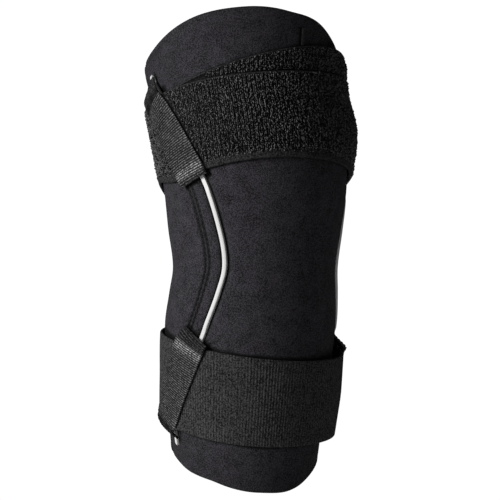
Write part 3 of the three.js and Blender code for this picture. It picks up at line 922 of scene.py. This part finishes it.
def piping(name, node_name, side):
    """A white bead in a seam, round where it is free and pressed flat under bands and straps."""
    share = np.linspace(PIPING.start, PIPING.end, PIPING_ROWS)[:, None]
    angle = side * seam_angle(share)
    height = sleeve_height(angle, share)
    pressed = smooth_step(support(angle, height, PIPING.pressed), 0, 1)
    bead = PIPING.bead + pressed * (PIPING.squeezed - PIPING.bead)
    end = np.minimum(share - PIPING.start, PIPING.end - share) * SLEEVE_LENGTH / PIPING.half
    bead = bead * np.sqrt(np.clip(end, PIPING.least, 1))
    turn = np.radians(BEAD)
    across = np.concatenate([[-PIPING.half], -PIPING.half * np.cos(turn), [PIPING.half]])
    rise = np.concatenate([[0], np.sqrt(np.sin(turn).clip(0)), [0]])
    floor = np.concatenate([[-NEOPRENE.thickness], np.zeros(len(turn)), [-NEOPRENE.thickness]])
    place = angle + across / degree_of_arc(height)
    loops = on_form(place, sleeve_height(place, share), floor + rise * bead)
    underside = np.arange(loops.shape[1]) == loops.shape[1] - 1
    piece = loft(name, loops, laid(across, height), [PIPING_TAPE, LINING], underside.astype(int))
    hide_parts(node_name)
    return add(piece)


piping("piping_bead_left", "piping_left", -1)
piping("piping_bead_right", "piping_right", 1)


def beside_seam(side, distance, offset):
    """A line along a seam, at a distance from it towards the back of the arm."""
    share = np.linspace(PIPING.start, PIPING.end, PIPING_ROWS)
    angle = seam_angle(share)
    angle = side * (angle + distance / degree_of_arc(sleeve_height(angle, share)))
    return line_on(angle, sleeve_height(angle, share), offset)


add(sewn("channel_stitches", [beside_seam(side, place, -CHANNELS.depth) for side in (-1, 1)
                              for place in CHANNELS.places], DARK_THREAD))
add(sewn("seam_topstitch", [beside_seam(side, TOPSTITCH, -TOPSTITCH_DEPTH) for side in (-1, 1)],
         DARK_THREAD))


# the bands


def band(name, node_name, layer, angles, rows, closed, finishes, ridge, hem_rows=0):
    """A band round the arm, with ridges of its own across the outer face, and a hem of some rows along
    its lower edge."""
    around = angles[:, None]
    bottom, top = layer.bottom(around), layer.top(around)
    edge = layer.thickness / 2
    places, level = section(bottom + np.linspace(0, 1, rows) * (top - bottom), edge)
    offset = layer.inner(around, places) + level * layer.thickness
    offset = offset + ridge(around, places - bottom, top - places) * smooth_step(level, CLOTH_OUTER, 1)
    ends = np.ones(len(angles))
    if not closed:
        tips = np.minimum(angles - angles[0], angles[-1] - angles) * MEAN_DEGREE / edge
        ends = np.sqrt(np.clip(tips, UNDER_BAND.least, 1))
        middle = layer.inner(around, places) + layer.thickness / 2
        offset = middle + (offset - middle) * ends[:, None]
    loops = on_form(around, places, offset)
    mean = degree_of_arc(float(np.mean(places)))
    turned = np.concatenate([angles, [angles[-1] + angles[1] - angles[0]]])[:, None] * mean
    rolled = np.concatenate([places, places[:1]])
    picks = section_picks(loops.shape[1])
    picks[len(ARC):len(ARC) + hem_rows] = 1
    # The band's outer face carries painted shadow beside the straps.
    piece = loft(name, loops, laid(turned, rolled), finishes, picks, closed=closed, cap_pick=2,
                 crease=strap_shade(around, places))
    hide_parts(node_name)
    return piece


def all_round(steps):
    return np.linspace(-TURN / 2, TURN / 2, steps, endpoint=False)


def sunk_ground(angle, above, below):
    """The ground that the pile stands on, below the band's face."""
    return -LOOPS.sunk * smooth_step(below, LOOPS.hem_step, 1) + 0 * above


def hemmed_ground(angle, above, below):
    """The same with a smooth hem along the lower edge, as thick as the pile."""
    past_hem = smooth_step(above, LOOPS.selvage - LOOPS.hem_step, LOOPS.selvage)
    return sunk_ground(angle, above, below) * past_hem


def elastic_ribs(angle, above, below):
    """Upright ribs of the woven elastic, which die out into its firm edges."""
    ribs = np.cos(np.radians(angle) * RIB_COUNT) * ELASTIC.depth / 2
    return ribs * smooth_step(above, *ELASTIC.edge) * smooth_step(below, *ELASTIC.edge)


def loop_lines(layer, angles, low, high):
    """Upright lines for the pile's columns, kept off the band's edges and from under the straps."""
    lines = []
    aside = LOOPS.apart / 2 / MEAN_DEGREE
    for angle in np.concatenate([angles - aside, angles + aside]):
        heights = np.arange(float(low(angle)), float(high(angle)), LOOPS.fine)
        away, in_front = from_straps(angle, heights)
        free = away > LOOPS.clear * np.where(in_front, LOOPS.in_front, 1)
        cuts = np.flatnonzero(np.diff(free.astype(int))) + 1
        for run, is_free in zip(np.split(heights, cuts), np.split(free, cuts)):
            if len(run) > LOOPS.shortest and is_free[0]:
                offset = layer.inner(angle, run) + layer.thickness - LOOPS.sunk
                lines.append(line_on(np.full(len(run), angle), run, offset))
    return lines


def repeats(half, pitch):
    """How many repeats of a pitch go round the arm where it is this wide to either side."""
    return round(np.pi * (1 + ARM.flatness) * half / pitch)


RIB_COUNT = repeats(ELASTIC.half_round, ELASTIC.rib)
COLUMNS = repeats(LOOPS.half_round, LOOPS.column)

first_turn = band("first_turn", "under_band", UNDER, np.linspace(UNDER_BAND.start, UNDER_BAND.end, 260), 26,
                  False, [LOOP_GROUND, SELVAGE, SELVAGE], sunk_ground)
loop_band = band("loop_band", "upper_band", UPPER, all_round(400), 60, True, [LOOP_GROUND, SELVAGE, SELVAGE],
                 hemmed_ground, hem_rows=5)
elastic_band = band("elastic_band", "lower_band", LOWER, all_round(RIB_COUNT * 5), 12, True,
                    [ELASTIC_RIBS, SELVAGE, ELASTIC_RIBS], elastic_ribs)
for piece, slot_name in ((first_turn, "loop_band"), (loop_band, "loop_band"), (elastic_band, "elastic")):
    add(piece)

def grow_pile(name, layer, angles, low, high, seed):
    """The pile of a band between the angles of its columns and two heights that follow them."""
    add(looped(name, loop_lines(layer, angles, low, high), LOOP_PILE, seed))


column_angles = all_round(COLUMNS)
on_the_front = np.abs(column_angles) < 90
for name, angles, seed in (("loop_pile_front", column_angles[on_the_front], 3),
                           ("loop_pile_back", column_angles[~on_the_front], 4)):
    grow_pile(name, UPPER, angles, lambda a: UPPER.bottom(a) + LOOPS.selvage,
              lambda a: UPPER.top(a) - LOOPS.below_top, seed)
on_the_turn = ((column_angles > UNDER_BAND.start + LOOPS.inside)
               & (column_angles < UNDER_BAND.end - LOOPS.inside))
grow_pile("first_turn_pile", UNDER, column_angles[on_the_turn],
          lambda a: UPPER.top(a) + LOOPS.above_band, lambda a: UNDER.top(a) - LOOPS.below_turn, 5)


# the straps


def strap_floor(angle, height, falls, rests_on):
    """The offset of a strap's inner face over the bands and the piping. It sinks into loop pile."""
    sunk = LOOPS.sunk if rests_on is loop_band else 0
    return np.maximum(support(angle, height, falls) - sunk, PIPING.squeezed) + CLEARANCE


def strap_looks(ends, run, to_front, fold):
    """How much painted shade and painted highlight each point of a strap has."""
    # Painted shade over the folded tip, darkest just past the fold and less further in.
    within = ends.fold - (run[-1] - run)
    deep = 1 - (1 - ends.deep) * smooth_step(within, *PAINTED_STRAP_LIGHT.deepens)
    folded = smooth_step(within, 0, PAINTED_STRAP_LIGHT.opens) * deep
    # Painted shade in crumples across the back half of the strap, which have no shape of their own.
    crumple = hollow(np.mod(run, WEBBING.crumple) - WEBBING.crumple / 2, PAINTED_STRAP_LIGHT.crumple_width)
    crumpled = smooth_step(-to_front, PAINTED_STRAP_LIGHT.from_middle, 1) * crumple * (run > 2 * WEBBING.turned)
    sewn_down = ends.sewn_dark * (1 - smooth_step(run, *(ends.frayed - np.array(PAINTED_STRAP_LIGHT.sewn))))
    dark = folded * (PAINTED_STRAP_LIGHT.fold - PAINTED_STRAP_LIGHT.pleat * fold) + sewn_down + PAINTED_STRAP_LIGHT.crumple * crumpled
    # A painted highlight near the sewn end and along the front edge, none over the folded tip.
    edge = PAINTED_STRAP_LIGHT.edge * smooth_step(to_front, *PAINTED_STRAP_LIGHT.edge_from)
    return np.clip(dark, 0, 1), np.maximum(hollow(run - ends.frayed, ends.fray), edge) * (1 - folded)


def strap(name, node_name, route, length, side, ends, rests_on):
    """Webbing laid over whatever is under it, with its ribs across it, and folded narrow at its tip."""
    steps = int(strap_line(route, length, side, 2)[3][-1] / WEBBING.rib * STRAP.rows_a_rib)
    angle, height, width, run = (column[:, None] for column in strap_line(route, length, side, steps))
    go_round, go_up = strap_way(angle[:, 0], height[:, 0], run[:, 0])[:, :, None]
    places, level = section(np.linspace(-0.5, 0.5, STRAP.columns)[None] * width, STRAP.edge)
    spot_angle, spot_height = angle + places * go_up / degree_of_arc(height), height - places * go_round
    falls = np.where(run < WEBBING.turned, STRAP.end_falls, ends.falls)
    thick = np.sqrt(np.clip(np.minimum(run, run[-1] - run) / (STRAP.thickness / 2), STRAP.least, 1))
    level = 0.5 + (level - 0.5) * thick
    ribs = WEBBING.depth * np.cos(2 * np.pi * run / WEBBING.rib) / 2
    narrow = 1 - smooth_step(width / STRAP.width, WEBBING.narrow, 1)
    fold = np.cos(places / width * WEBBING.pleats * np.pi + WEBBING.phase)
    pleats = WEBBING.fold * narrow * fold / 2 * (run < run[-1])
    turned_end = smooth_step(run, WEBBING.turned - WEBBING.turns, WEBBING.turned)
    turned_end = WEBBING.doubled * (1 - turned_end)
    raised = (ribs + turned_end) * smooth_step(level, CLOTH_OUTER, 1)
    inner = strap_floor(spot_angle, spot_height, falls, rests_on)
    loops = on_form(spot_angle, spot_height, inner + level * STRAP.thickness + raised + pleats)
    to_front = -side * np.sign(go_up) * 2 * places / width
    # The strap carries painted shade and a painted highlight to its material.
    dark, frayed = strap_looks(ends, run, to_front, fold)
    piece = loft(name, loops, laid(places, run), [WEBBING_RIBS], np.zeros(loops.shape[1], int),
                 crease=dark, wear=frayed)
    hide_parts(node_name)
    return add(piece)


def strap_stitches(route, length, side, distance, rests_on):
    """A line of stitches across a strap, at a distance from its sewn end."""
    angle, height, width, run = strap_line(route, length, side, steps=300)
    i = int(np.searchsorted(run, distance))
    degree = degree_of_arc(height[i])
    way = np.array([(angle[i + 1] - angle[i]) * degree, height[i + 1] - height[i]])
    way /= np.linalg.norm(way)
    places = np.linspace(-0.5, 0.5, 20) * (width[i] - 2 * STITCH.margin)
    spot_angle, spot_height = angle[i] + places * way[1] / degree, height[i] - places * way[0]
    offset = strap_floor(spot_angle, spot_height, STRAP.end_falls, rests_on)
    return line_on(spot_angle, spot_height, offset + STRAP.thickness + WEBBING.thread_lift)


strap_lines = []
for side, label in ((-1, "left"), (1, "right")):
    for kind, route, length, ends, rests_on in (
            ("upper", UPPER_ROUTE, ARM.upper, UPPER_ENDS, loop_band),
            ("lower", LOWER_ROUTE, ARM.fore, LOWER_ENDS, elastic_band)):
        strap(f"webbing_{kind}_{label}", f"{kind}_strap_{label}", route, length, side, ends, rests_on)
        strap_lines += [strap_stitches(route, length, side, distance, rests_on)
                        for distance in WEBBING.sewn]
add(sewn("strap_end_stitches", strap_lines, DARK_THREAD, length=WEBBING.thread))


def folded_label():
    """A narrow ribbon folded in two and sewn down, with its open fold a slit to one side, painted dark as
    its shadow.
    """
    foot = float(UNDER.top(np.array(LABEL.angle))) + CLEARANCE
    rows = np.linspace(0, 1, LABEL.rows)[:, None]
    height = foot + rows * LABEL.height
    proud = LABEL.proud * np.sqrt(np.clip(np.minimum(rows, 1 - rows) * LABEL.rows, LABEL.least, 1))
    slit, leaf, hem = LABEL.slit, LABEL.leaf, LABEL.hem
    across = np.array([-slit, -slit, hem - slit, -hem, 0, 0, hem, leaf - hem, leaf, leaf])
    rise = np.array([0] + [LABEL.slit_rise] * 4 + [1] * 4 + [0])
    place = LABEL.angle + across / degree_of_arc(height)
    loops = on_form(place, np.broadcast_to(height, place.shape), CLEARANCE + rise * proud)
    # Painted shadow across the label: black through the slit and partly dark at the feet of the leaf.
    painted_slit_shadow = np.array([1, 1, 1, 1, 1, 0.3, 0, 0, 0, 0.6])
    piece = loft("ribbon_label", loops, laid(across, height), [RIBBON], np.zeros(len(across), int),
                 crease=painted_slit_shadow)
    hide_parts("folded_label")
    return add(piece)


folded_label()


# the studio

CAMERA = Sizes(azimuth=33, distance=1.3, eye=0.0088, aside=-0.00275, lens=170.2, sensor=36)
FLOOR = Sizes(level=-0.26, radius=0.75, dark=(0.86, 0.86, 0.86, 1), light=(0.9, 0.9, 0.9, 1))

# Each light: how far towards the camera, to its right and up, its size, and its power in watts. Then
# how bright the world is as the camera sees it, and as the part feels it.
LIGHTS = [
    ("key", (0.9, -1.35, 0.42), 0.8, 27),
    ("fill", (1.5, 0.3, 0.3), 0.9, 1.0),
]
BACKDROP, AMBIENT = 1.05, 0.045


def studio():
    """The camera at the photograph's angle, a pale floor below the held-up part, and soft lights."""
    turn = np.radians(CAMERA.azimuth)
    back = Vector((-np.sin(turn), -np.cos(turn), 0))
    right = Vector((np.cos(turn), -np.sin(turn), 0))
    data = bpy.data.cameras.new("camera")
    data.lens, data.sensor_width = CAMERA.lens, CAMERA.sensor
    camera = put("camera", data)
    camera.matrix_world = Matrix.Translation(
        back * CAMERA.distance + right * CAMERA.aside + Vector((0, 0, CAMERA.eye))
    ) @ back.to_track_quat("Z", "Y").to_matrix().to_4x4()
    bpy.context.scene.camera = camera

    ring = np.radians(np.arange(0, TURN, 5))
    points = [(FLOOR.radius * np.cos(a), FLOOR.radius * np.sin(a), FLOOR.level) for a in ring]
    mesh = bpy.data.meshes.new("pale_floor")
    mesh.from_pydata(points, [], [list(range(len(points)))])
    made, tree, place, cloth = material("pale_floor", 0.9, specular=0.1)
    patches = grain(tree, place, size=60.0, contrast=1.0)
    mesh.materials.append(dressed(made, blend(tree, patches, FLOOR.dark, FLOOR.light)))
    floor = put("pale_floor", mesh)

    for name, place, size, power in LIGHTS:
        lamp = bpy.data.lights.new(name, "AREA")
        lamp.shape, lamp.size, lamp.energy = "DISK", size, power
        lit = put(name, lamp)
        lit.location = back * place[0] + right * place[1] + Vector((0, 0, place[2]))
        lit.rotation_euler = lit.location.to_track_quat("Z", "Y").to_euler()

    world = bpy.data.worlds.new("white_studio")
    world.use_nodes = True
    tree = world.node_tree
    tree.nodes.clear()
    felt, seen = (node(tree, "ShaderNodeBackground", {"Color": (1, 1, 1, 1), "Strength": strength})
                  for strength in (AMBIENT, BACKDROP))
    path = node(tree, "ShaderNodeLightPath")
    mixed = node(tree, "ShaderNodeMixShader", {0: path.outputs["Is Camera Ray"], 1: felt, 2: seen})
    node(tree, "ShaderNodeOutputWorld", {0: mixed})
    bpy.context.scene.world = world
    bpy.context.scene.view_settings.view_transform = "Standard"


studio()
